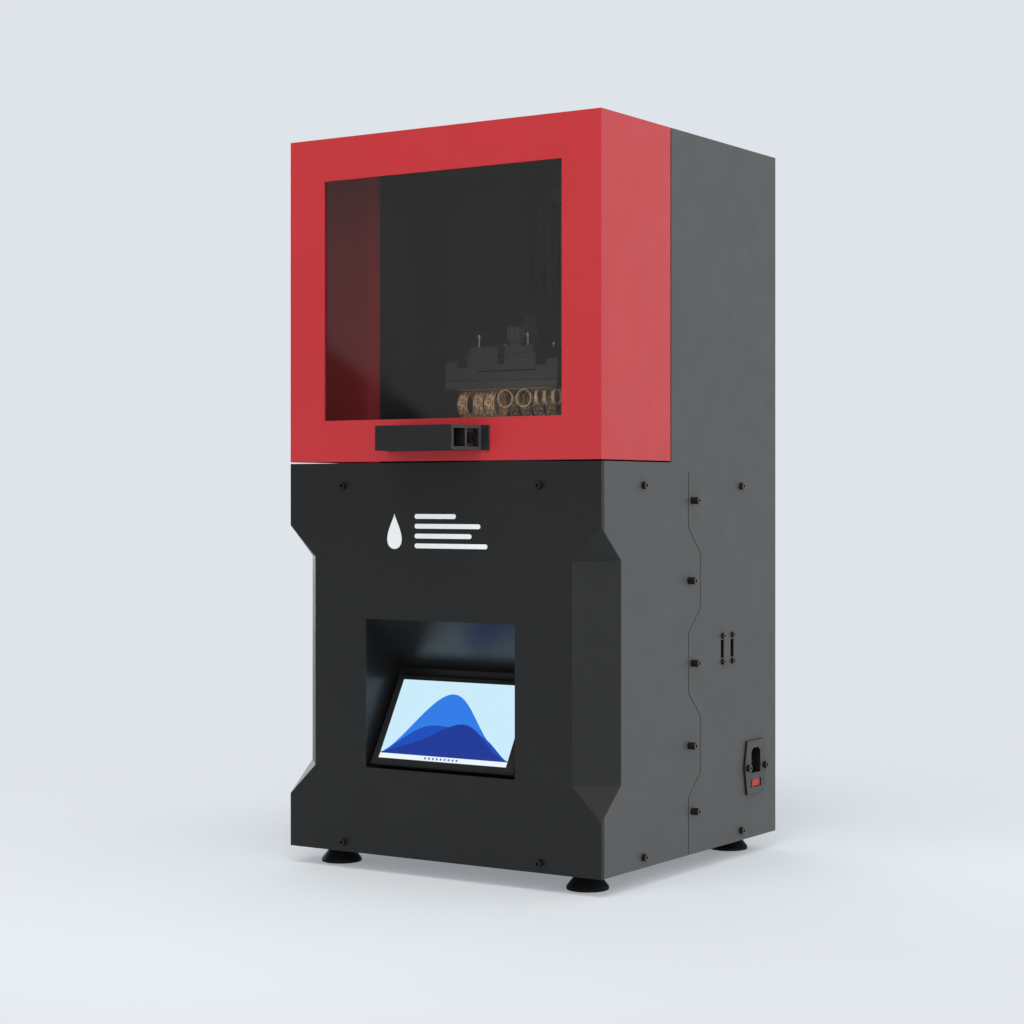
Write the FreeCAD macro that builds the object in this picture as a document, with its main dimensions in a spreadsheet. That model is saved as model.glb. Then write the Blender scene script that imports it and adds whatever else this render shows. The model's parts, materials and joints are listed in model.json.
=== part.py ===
"""Desktop resin printer: lower cabinet, hinged hood, Z axis, build platform, vat and electronics.

Millimetres. X is to the right, Y to the back, Z up. Every solid is drawn from the middle of the
cabinet's underside, and each sub-part's Placement then puts the feet on Z = 0 and the whole
machine in the middle of its own footprint.
"""
import FreeCAD
import Part
import Sketcher
import math
import os
import re

SIZES = {
    # whole machine
    "width": 361, "depth": 352, "height": 700, "reach": 42, "rear": 6.5,
    "foot_height": 17, "foot_rim": 3, "foot_radius": 20, "foot_neck": 10.4,
    # sheet metal
    "skin": 2.5, "hood_skin": 2, "lower_top": 380, "hood_base": 381.5, "hood_back": -48,
    "cabinet_front": -46, "seam_gap": 1.4, "seam_step": 12, "seam_top": 371, "sheet_gap": 0.02,
    "front_return": 5,
    # corner notches of the lower cabinet
    "notch_across": 31.5, "notch_back": 35, "notch_slope": 30.5, "notch_low": 52, "notch_high": 319,
    # hood window and handle
    "window_half": 138, "window_low": 422, "window_high": 658, "flange": 13.5,
    "handle_half": 44, "handle_flare": 50, "ear_half": 59, "ear_thick": 2,
    "handle_low": 391, "handle_high": 414.5, "handle_wall": 3.2, "handle_web": 2.7, "rear_cell": 15.8,
    # hinge
    "hinge_mid": 110, "hinge_y": -47, "hinge_z": 704, "knuckle": 12, "barrel": 4, "hinge_pin": 1.5,
    # screen
    "screen_half": 86.5, "screen_low": 84, "screen_high": 228.5, "recess_back": -118, "recess_eave": 177.5,
    "module_half": 82.5, "module_run": 95, "module_thick": 6, "glass_thick": 1.2, "tilt": 30,
    # inner frame and deck
    "tube": 20, "tube_wall": 2, "deck": 378, "deck_thick": 3,
    # Z axis
    "axis_wall": 90, "column_back": 84, "column_top": 676, "screw_y": 72, "screw_radius": 5,
    "rail_x": 55, "rail_half": 6, "running": 0.05,
    # build platform and vat, both centred on the optical axis
    "optic_y": -32.5, "plate_half": 67, "plate_deep": 75.6, "plate_low": 455, "plate_thick": 8,
    "raft": 1.2,
    "arm_low": 490.1, "arm_high": 497, "vat_half": 76, "vat_deep": 92, "vat_wall": 20, "vat_top": 410,
    "vat_knob_x": 110,
    # ports and fan
    "usb_low": 186.7, "usb_high": 204.9, "inlet_y": 126.5, "inlet_z": 72, "switch_low": 51.8,
    "switch_high": 59.2, "fan_z": 240, "fan_radius": 43,
}
SEAM = [(-1, 0), (-1, 56), (1, 78), (1, 133), (-1, 157), (-1, 215), (1, 238.5), (1, 293), (-1, 317),
        (-1, 371)]
CORNER_SCREWS = [(-100, 10), (97.5, 10), (-100, 358), (97.5, 358)]
SEAM_SCREWS = [(-4.5, 41.7), (-11, 106), (-4.5, 185.6), (-11, 266), (-4.5, 343.6)]
FRONT_SCREWS = [(-114, 9), (114, 9), (-114, 358), (114, 358)]
USB_PORTS = [58.4, 79.2]
FEET = [(x, y) for x in (-144, 144) for y in (-140, 140)]
HINGES = [-1, 1]
HINGE_SCREWS = (-20, 20)
HANDLE_BOLTS = (-25, 25)
RAIL_BLOCKS = (452, 503)
LEVEL_SCREWS = [(-29, -64, 12), (29, -64, 12), (-29, -16, 6), (29, -16, 6)]
KNOB_Y = "-38"
BROAD_RINGS = [(-48, -53), (-29, -53), (-15.5, -53), (-24, -20), (-9, -20), (6, -20), (21, -20), (36, -20)]
FACING_RINGS = [(x, y) for y in (-64, -50) for x in (1.5, 23.5)]
EDGE_RINGS = [(38, -56), (48, -56), (58, -56)]
FAN_BOLTS = [(x, z) for x in (-41.25, 41.25) for z in (-41.25, 41.25)]
FRONT = "-depth / 2"
BACK = "depth / 2"
HANDLE_MIDDLE = "(handle_low + handle_high) / 2"

# a thin lip of the front panel covers the cut edge of each side panel along the corner notches
LIP = 0.45
LIP_GAP = 0.1
# hole radii for the cap screws: clearance in a sheet, and the core of a thread
CLEAR_M4 = 2.3
CORE_M4 = 2.05
CORE_M3 = 1.55

SIDES = {"left": -1, "right": 1}
STEPS = {"+X": (1, 0, 0), "-X": (-1, 0, 0), "+Y": (0, 1, 0), "-Y": (0, -1, 0), "+Z": (0, 0, 1),
         "-Z": (0, 0, -1)}
OPPOSITE = {"+X": "-X", "-X": "+X", "+Y": "-Y", "-Y": "+Y", "+Z": "-Z", "-Z": "+Z"}

doc = FreeCAD.newDocument("ResinPrinter")
cells = doc.addObject("Spreadsheet::Sheet", "Dims")
for row, (alias, value) in enumerate(SIZES.items(), start=1):
    cells.set(f"A{row}", alias)
    cells.set(f"B{row}", str(value))
    cells.setAlias(f"B{row}", alias)
doc.recompute()
nodes = []


def bound(formula):
    """The formula with each alias written as a reference to its cell."""
    return re.sub(r"[a-z][a-z_]*", lambda word: "Dims." + word.group() if word.group() in SIZES
                  else word.group(), str(formula))


def value_of(alias):
    """A cell's number, for the few shapes that are worked out rather than drawn."""
    return float(cells.get(alias))


def place(obj, point):
    """Bind an object's position to three formulas."""
    for axis, formula in zip("xyz", point):
        obj.setExpression("Placement.Base." + axis, bound(formula))


def turned(direction):
    """The rotation that takes +Z to a direction."""
    return FreeCAD.Rotation(FreeCAD.Vector(0, 0, 1), FreeCAD.Vector(*STEPS[direction]))


def along(point, direction, distance):
    """A point moved a distance in a direction."""
    return [f"{start} + ({distance}) * {step}" if step else start
            for start, step in zip(point, STEPS[direction])]


def box(x, y, z):
    """A block between a low and a high formula on each axis."""
    obj = doc.addObject("Part::Box", "Block")
    for side, (low, high) in zip(("Length", "Width", "Height"), (x, y, z)):
        obj.setExpression(side, bound(f"({high}) - ({low})"))
    place(obj, (x[0], y[0], z[0]))
    return obj


def rod(direction, point, length, radius):
    """A cylinder from a point along a direction."""
    obj = doc.addObject("Part::Cylinder", "Rod")
    obj.Placement.Rotation = turned(direction)
    obj.setExpression("Height", bound(length))
    obj.setExpression("Radius", bound(radius))
    place(obj, point)
    return obj


def cone(point, length, low_radius, high_radius):
    """An upright cone from a point."""
    obj = doc.addObject("Part::Cone", "Cone")
    obj.setExpression("Height", bound(length))
    obj.setExpression("Radius1", bound(low_radius))
    obj.setExpression("Radius2", bound(high_radius))
    place(obj, point)
    return obj


def hexagon(direction, point, length, radius):
    """A six-sided prism from a point along a direction, radius to its corners."""
    obj = doc.addObject("Part::Prism", "Hexagon")
    obj.Polygon = 6
    obj.Placement.Rotation = turned(direction)
    obj.setExpression("Height", bound(length))
    obj.setExpression("Circumradius", bound(radius))
    place(obj, point)
    return obj


def fuse(*solids):
    """One solid from several."""
    if len(solids) == 1:
        return solids[0]
    obj = doc.addObject("Part::MultiFuse", "Fusion")
    obj.Shapes = list(solids)
    return obj


def cut(base, *tools):
    """A solid with tools taken out of it."""
    obj = doc.addObject("Part::Cut", "Cut")
    obj.Base = base
    obj.Tool = fuse(*tools)
    return obj


def pad(plane, outline, low, high):
    """A body padded from a closed outline on an origin plane, between two heights on its normal."""
    body = doc.addObject("PartDesign::Body", "Body")
    sketch = body.newObject("Sketcher::SketchObject", "Outline")
    origin_plane = next(f for f in body.Origin.OriginFeatures if f.Role == plane + "_Plane")
    sketch.AttachmentSupport = [(origin_plane, "")]
    sketch.MapMode = "FlatFace"
    start = f"-({high})" if plane == "XZ" else low
    sketch.setExpression("AttachmentOffset.Base.z", bound(start))
    # the outline starts on a circle, and its constraints then put every corner in place
    count = len(outline)
    turns = [2 * math.pi * i / count for i in range(count)]
    rough = [FreeCAD.Vector(100 * math.cos(turn), 100 * math.sin(turn), 0) for turn in turns]
    for i, point in enumerate(rough):
        sketch.addGeometry(Part.LineSegment(point, rough[(i + 1) % count]))
    for i in range(count):
        sketch.addConstraint(Sketcher.Constraint("Coincident", i, 2, (i + 1) % count, 1))
    for i, (u, v) in enumerate(outline):
        for kind, formula, rough_value in (("DistanceX", u, rough[i].x), ("DistanceY", v, rough[i].y)):
            index = sketch.addConstraint(Sketcher.Constraint(kind, i, 1, rough_value))
            sketch.setExpression(f"Constraints[{index}]", bound(formula))
    feature = body.newObject("PartDesign::Pad", "Pad")
    feature.Profile = sketch
    feature.setExpression("Length", bound(f"({high}) - ({low})"))
    body.Tip = feature
    return body


def ring(direction, point, length, outer, inner):
    """A tube from a point along a direction."""
    through = along(point, direction, -1)
    return cut(rod(direction, point, length, outer), rod(direction, through, f"({length}) + 2", inner))


def square_tube(x, y, z, run):
    """A square tube along one axis, with open ends."""
    inner = []
    for axis, (low, high) in zip("xyz", (x, y, z)):
        margin = "-1" if axis == run else "tube_wall"
        inner.append((f"{low} + {margin}", f"{high} - ({margin})"))
    return cut(box(x, y, z), box(*inner))


def cap_screw(direction, point, shank, radius=2, head=3.5, head_height=4):
    """A socket-head screw: its head stands out from the point and its shank goes in behind it."""
    body = fuse(rod(direction, point, head_height, head), rod(OPPOSITE[direction], point, shank, radius))
    socket = along(point, direction, head_height / 2)
    return cut(body, hexagon(direction, socket, head_height, head * 0.5))


def side_range(side, low, high):
    """The low and high X of a stretch on one side, given as distances from the middle."""
    return (low, high) if side > 0 else (f"-({high})", f"-({low})")


def node(name, *solids):
    """A named sub-part: its solids, placed in the machine's own frame."""
    obj = doc.addObject("Part::Compound", name)
    obj.Label = name
    obj.Links = list(solids)
    place(obj, ("0", "(reach - rear) / 2", "foot_height"))
    nodes.append(obj)
    return obj


def corner_notch(side, inset):
    """The wedge that a chamfered corner takes off the cabinet, moved inwards by an inset."""
    across, back, slope = (value_of(alias) for alias in ("notch_across", "notch_back", "notch_slope"))
    corner_x = value_of("width") / 2
    corner_y = -value_of("depth") / 2
    diagonal = math.hypot(across, back)
    rise = inset * math.hypot(diagonal * slope, across * back) / (across * back)
    shift = slope * inset * diagonal / (across * back)
    front_x = corner_x - across - inset * diagonal / back
    side_y = corner_y + back + inset * diagonal / across
    tip_high = value_of("notch_high") + rise
    tip_low = value_of("notch_low") - rise
    flat_high = tip_high - slope - shift
    flat_low = tip_low + slope + shift
    corner = {z: FreeCAD.Vector(side * corner_x, corner_y, z) for z in (tip_low, tip_high)}
    front = {z: FreeCAD.Vector(side * front_x, corner_y, z) for z in (flat_low, flat_high)}
    flank = {z: FreeCAD.Vector(side * corner_x, side_y, z) for z in (flat_low, flat_high)}
    outlines = [
        (corner[tip_high], front[flat_high], flank[flat_high]),
        (front[flat_high], front[flat_low], flank[flat_low], flank[flat_high]),
        (corner[tip_low], flank[flat_low], front[flat_low]),
        (corner[tip_high], corner[tip_low], front[flat_low], front[flat_high]),
        (corner[tip_low], corner[tip_high], flank[flat_high], flank[flat_low]),
    ]
    faces = [Part.Face(Part.makePolygon([*outline, outline[0]])) for outline in outlines]
    obj = doc.addObject("Part::Feature", "CornerNotch")
    solid = Part.makeSolid(Part.makeShell(faces))
    if solid.Volume < 0:
        solid.reverse()
    obj.Shape = solid
    return obj


def seam(offset):
    """The zigzag joint between the two side panels, as (Y, Z) corners from the bottom up."""
    return [(f"seam_step * {step} + ({offset})", str(z)) for step, z in SEAM]


def side_holes(side, spots, radius=CLEAR_M4):
    """Drills through a side panel and the frame tube behind it."""
    start = side_range(side, "width / 2 - 12", "width / 2 + 1")[0]
    return [rod("+X", (start, str(y), str(z)), 13, radius) for y, z in spots]


# ---------------------------------------------------------------- lower cabinet


def make_front():
    """The base plate and the front panel with its chamfered corners."""
    floor = box(("-width / 2 + skin", "width / 2 - skin"), (f"{FRONT} + skin", f"{BACK} - skin"), ("0", "3"))
    node("base_plate", cut(floor, *[rod("+Z", (x, y, -1), 5, 2.7) for x, y in FEET]))

    outer = box(("-width / 2", "width / 2"), (FRONT, f"{FRONT} + notch_back"), ("0", "lower_top"))
    inner = box(("-width / 2 + skin", "width / 2 - skin"),
                (f"{FRONT} + skin", f"{FRONT} + notch_back + 1"), ("-1", "lower_top + 1"))
    shell = cut(cut(outer, corner_notch(-1, 0), corner_notch(1, 0)),
                cut(inner, corner_notch(-1, value_of("skin")), corner_notch(1, value_of("skin"))))
    window = box(("-screen_half", "screen_half"), (f"{FRONT} - 1", f"{FRONT} + 10"),
                 ("screen_low", "screen_high"))
    trims = []
    for side in SIDES.values():
        strip = box(side_range(side, "width / 2 - skin", "width / 2 + 1"),
                    (f"{FRONT} + front_return", f"{FRONT} + notch_back + 2"), ("-2", "lower_top + 2"))
        trims.append(cut(strip, corner_notch(side, LIP)))
    holes = [rod("+Y", (x, f"{FRONT} - 1", z), 10, CLEAR_M4) for x, z in FRONT_SCREWS]
    node("front_panel", cut(shell, window, *trims, *holes))


def make_sides():
    """The two side panels on each side, which meet along the zigzag seam."""
    split = "cabinet_front"
    for name, side in SIDES.items():
        low, high = side_range(side, "width / 2 - skin", "width / 2")
        front_edge = f"{FRONT} + front_return + 0.2"
        step_z = "seam_top - sheet_gap"
        step_y = f"{split} - sheet_gap"
        outline = [(front_edge, "0"), *seam("-seam_gap / 2")[:-1], ("-seam_step - seam_gap / 2", step_z),
                   (step_y, step_z), (step_y, "lower_top"), (front_edge, "lower_top")]
        spots = [CORNER_SCREWS[0], CORNER_SCREWS[2], SEAM_SCREWS[1], SEAM_SCREWS[3]]
        sheet = pad("YZ", outline, low, high)
        node(f"side_front_{name}", cut(sheet, corner_notch(side, LIP + LIP_GAP), *side_holes(side, spots)))

        outline = [*seam("seam_gap / 2"), (split, "seam_top"), (split, "height"), (BACK, "height"),
                   (BACK, "0")]
        spots = [CORNER_SCREWS[1], CORNER_SCREWS[3], SEAM_SCREWS[0], SEAM_SCREWS[2], SEAM_SCREWS[4]]
        tools = side_holes(side, spots)
        if side > 0:
            tools += port_openings()
        node(f"side_rear_{name}", cut(pad("YZ", outline, low, high), *tools))


def make_back():
    """The back panel with its vents and fan hole, and the fixed top cover behind the hood."""
    inside = ("-width / 2 + skin", "width / 2 - skin")
    sheet = box(inside, (f"{BACK} - skin", BACK), ("0", "height"))
    slots = [box((f"{x} - 45", f"{x} + 45"), (f"{BACK} - 5", f"{BACK} + 1"), (z, z + 5))
             for x in (-95, 95) for z in range(560, 650, 12)]
    fan_hole = rod("+Y", ("0", f"{BACK} - 5", "fan_z"), 10, "fan_radius")
    fan_bolts = [rod("+Y", (x, f"{BACK} - 5", f"fan_z + {z}"), 10, CORE_M4) for x, z in FAN_BOLTS]
    node("back_panel", cut(sheet, fan_hole, *slots, *fan_bolts))
    roof = box(inside, ("cabinet_front", f"{BACK} - skin"), ("height - skin", "height"))
    node("top_cover", cut(roof, *hinge_holes("+")))


def make_frame():
    """The square-tube frame inside the cabinet."""
    wall = "width / 2 - skin"
    under_deck = "deck - deck_thick"
    tubes = []
    for side in SIDES.values():
        column = side_range(side, f"{wall} - tube", wall)
        upright = side_range(side, "104", "104 + tube")
        tubes.append(square_tube(upright, (f"{FRONT} + skin", f"{FRONT} + skin + tube"), ("3", under_deck),
                                 "z"))
        tubes.append(square_tube(column, ("-21", "6"), ("3", under_deck), "z"))
        tubes.append(square_tube(column, (f"{BACK} - skin - tube", f"{BACK} - skin"), ("3", "height - skin"),
                                 "z"))
        for low, high in (("3", "3 + tube"), ("348", under_deck)):
            tubes.append(square_tube(column, ("-139", "-21"), (low, high), "y"))
            tubes.append(square_tube(column, ("6", f"{BACK} - skin - tube"), (low, high), "y"))
    holes = [rod("+Y", (x, f"{FRONT} - 1", z), 14, CORE_M4) for x, z in FRONT_SCREWS]
    for side in SIDES.values():
        holes += side_holes(side, CORNER_SCREWS + SEAM_SCREWS, CORE_M4)
    node("inner_frame", *[cut(tube, *holes) for tube in tubes])


def make_deck():
    """The deck between the two halves of the machine, with its window for the projector's light."""
    wall = "width / 2 - skin"
    deck = box((f"-({wall})", wall), (f"{FRONT} + skin", f"{BACK} - skin"), ("deck - deck_thick", "deck"))
    corners = [box(side_range(side, f"{wall} - tube", f"{wall} + 1"), (f"{BACK} - skin - tube", BACK),
                   ("370", "385")) for side in SIDES.values()]
    glass = box(*optic_window(2, "deck - deck_thick - 1", "deck + 1"))
    knobs = [rod("+Z", (f"vat_knob_x * {side}", "optic_y", "350"), 40, 3.05) for side in SIDES.values()]
    screw = rod("+Z", ("0", "screw_y", "350"), 40, 8)
    node("deck_plate", cut(deck, glass, screw, *corners, *knobs))
    node("deck_glass", box(*optic_window(2, "deck - deck_thick", "deck")))


def make_feet():
    """Four rubber feet with the bolts and nuts that hold them."""
    floor_level = "-foot_height"
    feet = []
    bolts = []
    for x, y in FEET:
        rim = rod("+Z", (x, y, floor_level), "foot_rim", "foot_radius")
        taper = cone((x, y, f"{floor_level} + foot_rim"), "foot_height - foot_rim - 2", "foot_radius",
                     "foot_neck")
        neck = rod("+Z", (x, y, "-2"), 2, "foot_neck")
        bore = rod("+Z", (x, y, f"{floor_level} - 1"), 30, 2.7)
        counterbore = rod("+Z", (x, y, f"{floor_level} - 1"), 7, 6)
        feet.append(cut(fuse(rim, taper, neck), bore, counterbore))
        bolts.append(cap_screw("-Z", (x, y, f"{floor_level} + 6"), 24, 2.5, 4.5, 4))
        bolts.append(cut(hexagon("+Z", (x, y, "3"), 4, 4.6), rod("+Z", (x, y, "2"), 8, 2.5)))
    node("rubber_feet", *feet)
    node("foot_bolts", *bolts)


def make_screws():
    """The screws of the panels and the fan, and the longer ones on spacers along the side seams."""
    screws = [cap_screw("-Y", (x, FRONT, z), 7) for x, z in FRONT_SCREWS]
    screws += [cap_screw("+Y", (x, f"{BACK} + 2.5", f"fan_z + {z}"), 20) for x, z in FAN_BOLTS]
    seams = []
    for side in SIDES.values():
        direction = "+X" if side > 0 else "-X"
        at = f"width / 2 * {side}"
        screws += [cap_screw(direction, (at, y, z), 7) for y, z in CORNER_SCREWS]
        for y, z in SEAM_SCREWS:
            spacer = ring(direction, (at, y, z), 4, 3.5, CORE_M4)
            seams += [spacer, cap_screw(direction, along((at, y, z), direction, 4), 11)]
    node("panel_screws", *screws)
    node("seam_screws", *seams)


def optic_window(grow, low, high):
    """Ranges of a rectangle on the optical axis, grown from the build area's size."""
    across = f"plate_half + 5 + {grow}"
    deep = f"plate_deep / 2 + 4 + {grow}"
    return (f"-({across})", across), (f"optic_y - ({deep})", f"optic_y + ({deep})"), (low, high)


# ---------------------------------------------------------------- hood and hinge


def hinge_holes(side):
    """Drills for the hinge screws, behind (+) or in front of (-) the pin."""
    return [rod("+Z", (f"hinge_mid * {hinge} + {x}", f"hinge_y {side} 18", "height - 6"), 12, CORE_M3)
            for hinge in HINGES for x in HINGE_SCREWS]


def hinge_leaf(hinge, side, knuckles):
    """One leaf with its knuckles; side is + for the leaf behind the pin."""
    mid = f"hinge_mid * {hinge}"
    far, near = ("30", "4.5") if side == "+" else ("-30", "-4.5")
    span = sorted((float(far), float(near)))
    leaf = box((f"{mid} - knuckle * 2.5", f"{mid} + knuckle * 2.5"),
               (f"hinge_y + {span[0]}", f"hinge_y + {span[1]}"), ("height", "height + 2"))
    pieces = [leaf]
    web = sorted((0, float(near)))
    for index in knuckles:
        low = f"{mid} + knuckle * {index - 2.5} + 0.15"
        high = f"{mid} + knuckle * {index - 1.5} - 0.15"
        pieces.append(rod("+X", (low, "hinge_y", "hinge_z"), "knuckle - 0.3", "barrel"))
        pieces.append(box((low, high), (f"hinge_y + {web[0]}", f"hinge_y + {web[1]}"),
                          ("height", "height + 2")))
    bore = rod("+X", (f"{mid} - 40", "hinge_y", "hinge_z"), 80, "hinge_pin + running")
    return cut(fuse(*pieces), bore, *hinge_holes(side))


def make_hood():
    """The hinged hood and its window."""
    outer = box(("-width / 2", "width / 2"), (FRONT, "hood_back"), ("hood_base", "height"))
    inner = box(("-width / 2 + hood_skin", "width / 2 - hood_skin"),
                (f"{FRONT} + hood_skin", "hood_back - hood_skin"), ("hood_base - 1", "height - hood_skin"))
    opening = box(("-width / 2 + hood_skin + flange", "width / 2 - hood_skin - flange"),
                  ("hood_back - 5", "hood_back + 1"), ("hood_base - 1", "height - hood_skin - flange"))
    window = box(("-window_half", "window_half"), (f"{FRONT} - 1", f"{FRONT} + 5"),
                 ("window_low", "window_high"))
    bolts = [rod("+Y", (x, f"{FRONT} - 1", HANDLE_MIDDLE), 6, CORE_M4) for x in HANDLE_BOLTS]
    node("hood_shell", cut(outer, inner, opening, window, *bolts, *hinge_holes("-")))
    node("hood_window", box(("-window_half - 10", "window_half + 10"),
                            (f"{FRONT} + hood_skin", f"{FRONT} + hood_skin + 3"),
                            ("window_low - 4", "window_high + 10")))


def make_handle():
    """The two-celled handle: a bar that flares back to its ear plate, with a screw in each open end."""
    front = f"{FRONT} - reach"
    back = f"{FRONT} - ear_thick"
    bar = pad("XY", [("-handle_half", front), ("handle_half", front), ("handle_flare", back),
                     ("-handle_flare", back)], "handle_low", "handle_high")
    plate = box(("-ear_half", "ear_half"), (back, FRONT), ("handle_low", "handle_high"))
    inside = ("handle_low + handle_wall", "handle_high - handle_wall")
    rear_cell = (f"{back} - handle_wall - rear_cell", f"{back} - handle_wall")
    front_cell = (f"{front} + handle_wall", f"{rear_cell[0]} - handle_web")
    # walls across the rear cell carry the end screws
    wall = (40, 43)
    cells_out = [box(("-ear_half - 1", "ear_half + 1"), front_cell, inside),
                 box((-wall[0], wall[0]), rear_cell, inside)]
    cells_out += [box(side_range(side, wall[1], "ear_half + 1"), rear_cell, inside)
                  for side in SIDES.values()]
    end_y = f"{rear_cell[1]} - rear_cell / 2"
    end_holes = [rod("+X", (-wall[1] - 1, end_y, HANDLE_MIDDLE), 2 * wall[1] + 2, 3.05)]
    mount_holes = [rod("+Y", (x, f"{rear_cell[1]} - 1", HANDLE_MIDDLE), 10, CORE_M4) for x in HANDLE_BOLTS]
    node("hood_handle", cut(fuse(bar, plate), *cells_out, *end_holes, *mount_holes))

    screws = [cap_screw("+Y", (x, f"{FRONT} + hood_skin", HANDLE_MIDDLE), 7) for x in HANDLE_BOLTS]
    screws.append(cap_screw("+X", (wall[1], end_y, HANDLE_MIDDLE), 12, 3, 5, 5))
    screws.append(cap_screw("-X", (-wall[1], end_y, HANDLE_MIDDLE), 12, 3, 5, 5))
    node("handle_screws", *screws)


def make_hinges():
    """Two butt hinges between the hood and the top cover, with their pins and screws."""
    node("hinge_leaves_fixed", *[hinge_leaf(hinge, "+", (0, 2, 4)) for hinge in HINGES])
    node("hinge_leaves_hood", *[hinge_leaf(hinge, "-", (1, 3)) for hinge in HINGES])
    pins = []
    for hinge in HINGES:
        start = (f"hinge_mid * {hinge} - knuckle * 2.5", "hinge_y", "hinge_z")
        pins.append(fuse(rod("+X", start, "knuckle * 5", "hinge_pin"), rod("-X", start, 1.5, 3),
                         rod("+X", along(start, "+X", "knuckle * 5"), 1.5, 3)))
    node("hinge_pins", *pins)
    for name, side in (("hinge_screws_fixed", "+"), ("hinge_screws_hood", "-")):
        spots = [(f"hinge_mid * {hinge} + {x}", f"hinge_y {side} 18", "height + 2")
                 for hinge in HINGES for x in HINGE_SCREWS]
        node(name, *[cap_screw("+Z", spot, 4.4, 1.5, 2.8, 2) for spot in spots])


# ---------------------------------------------------------------- Z axis


def make_lift():
    """The chamber wall and the column with its rails and their carriages."""
    node("chamber_wall", box(("-width / 2 + skin", "width / 2 - skin"), ("axis_wall", "axis_wall + 2"),
                             ("deck", "height - skin")))
    node("z_plate", box(("-103", "103"), ("column_back", "axis_wall"), ("deck", "640")))

    half = [("23", "80"), ("23", "61"), ("26", "61"), ("26", "78"), ("40", "78"), ("40", "70"), ("70", "70"),
            ("70", "column_back")]
    mirrored = [(f"-{x}", y) for x, y in reversed(half)]
    node("z_column", pad("XY", half + mirrored, "deck", "column_top"))

    rails = []
    blocks = []
    for side in SIDES.values():
        mid = f"rail_x * {side}"
        rails.append(box((f"{mid} - rail_half", f"{mid} + rail_half"), ("62", "70"), ("384", "670")))
        for low in RAIL_BLOCKS:
            block = box((f"{mid} - 13.5", f"{mid} + 13.5"), ("57", "68"), (low, low + 35))
            groove = box((f"{mid} - rail_half - running", f"{mid} + rail_half + running"),
                         ("62 - running", "69"), (low - 1, low + 36))
            blocks.append(cut(block, groove))
    node("z_rails", *rails)
    node("rail_carriages", *blocks)


def make_drive():
    """The lead screw with its bearings, motor and nut."""
    node("z_screw", rod("+Z", ("0", "screw_y", "332"), 336, "screw_radius"))
    bearings = []
    for low, high in (("deck", "deck + 14"), ("656", "672")):
        block = box(("-22.9", "22.9"), ("62", "79.9"), (low, high))
        bearings.append(cut(block, rod("+Z", ("0", "screw_y", f"{low} - 1"), 20, "screw_radius + running")))
    node("bearing_blocks", *bearings)
    motor = box(("-28.2", "28.2"), ("screw_y - 28.2", "screw_y + 28.2"), ("315", "deck - deck_thick"))
    node("z_motor", cut(motor, rod("+Z", ("0", "screw_y", "331"), 60, "screw_radius + running")))
    nut = fuse(rod("+Z", ("0", "screw_y", "466"), 38, 7), rod("+Z", ("0", "screw_y", "500"), 4, 7.8),
               box(("-16", "16"), ("57", "79"), ("470", "500")))
    node("screw_nut", cut(nut, rod("+Z", ("0", "screw_y", "460"), 50, "screw_radius + running")))


def make_arm():
    """The carriage plate, the arm that holds the platform, and its levelling screws."""
    node("carriage_plate", box(("-69", "69"), ("50", "57"), ("450", "540")))
    arm = box(("-37", "37"), ("-68", "50"), ("arm_low", "arm_high"))
    slot = box(("-4.5", "4.5"), ("-69", "-34"), ("arm_low - 1", "arm_high + 1"))
    webs = [box(side_range(side, "31", "37"), ("10", "50"), ("452", "arm_low")) for side in SIDES.values()]
    lugs = [box(side_range(side, "20", "37"), ("30", "50"), ("arm_high", "535")) for side in SIDES.values()]
    holes = [rod("+Z", (x, y, "480"), 30, CORE_M3) for x, y, _ in LEVEL_SCREWS]
    node("z_arm", cut(fuse(arm, *webs, *lugs), slot, *holes))
    screws = []
    for x, y, head in LEVEL_SCREWS:
        top = f"arm_high + {head}"
        shank = rod("+Z", (x, y, "arm_low + 0.1"), f"{head} + 5", 1.5)
        screws.append(cut(fuse(shank, rod("+Z", (x, y, f"{top} - 3"), 3, 2.6)),
                          hexagon("+Z", (x, y, f"{top} - 1.5"), 3, 1.3)))
    node("leveling_screws", *screws)


# ---------------------------------------------------------------- platform, prints and vat


def flutes(x, y, low, height, radius, count, size):
    """Upright rods in a circle, which cut the grip round a knob."""
    turns = [2 * math.pi * i / count for i in range(count)]
    return [rod("+Z", (f"{x} + {radius * math.cos(turn):.3f}", f"{y} + {radius * math.sin(turn):.3f}", low),
                height, size) for turn in turns]


def make_platform():
    """The build platform with its clamp knob."""
    y = ("optic_y - plate_deep / 2", "optic_y + plate_deep / 2")
    node("build_plate", box(("-plate_half", "plate_half"), y, ("plate_low", "plate_low + plate_thick")))

    half = [("66.9", "463"), ("66.9", "483"), ("53.2", "483"), ("53.2", "477"), ("41", "477"), ("41", "490"),
            ("4", "490"), ("4", "479.4")]
    outline = half + [(f"-{x}", z) for x, z in reversed(half)]
    block = pad("XZ", outline, f"{y[0]} + 1", f"{y[1]} - 1")
    groove = box(("-29", "42"), (f"{y[0]} - 1", f"{y[0]} + 6"), ("471.8", "473.2"))
    thread = rod("+Z", ("0", KNOB_Y, "465"), 40, 3.05)
    node("platform_block", cut(block, groove, thread))

    stem = rod("+Z", ("0", KNOB_Y, "467"), 40, 3)
    washer = rod("+Z", ("0", KNOB_Y, "arm_high + 0.1"), 5.9, 8.5)
    head = rod("+Z", ("0", KNOB_Y, "503"), 14, 10.8)
    node("platform_knob", cut(fuse(stem, washer, head), *flutes("0", KNOB_Y, "504.5", 15, 11.6, 12, 1.9)))


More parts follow.
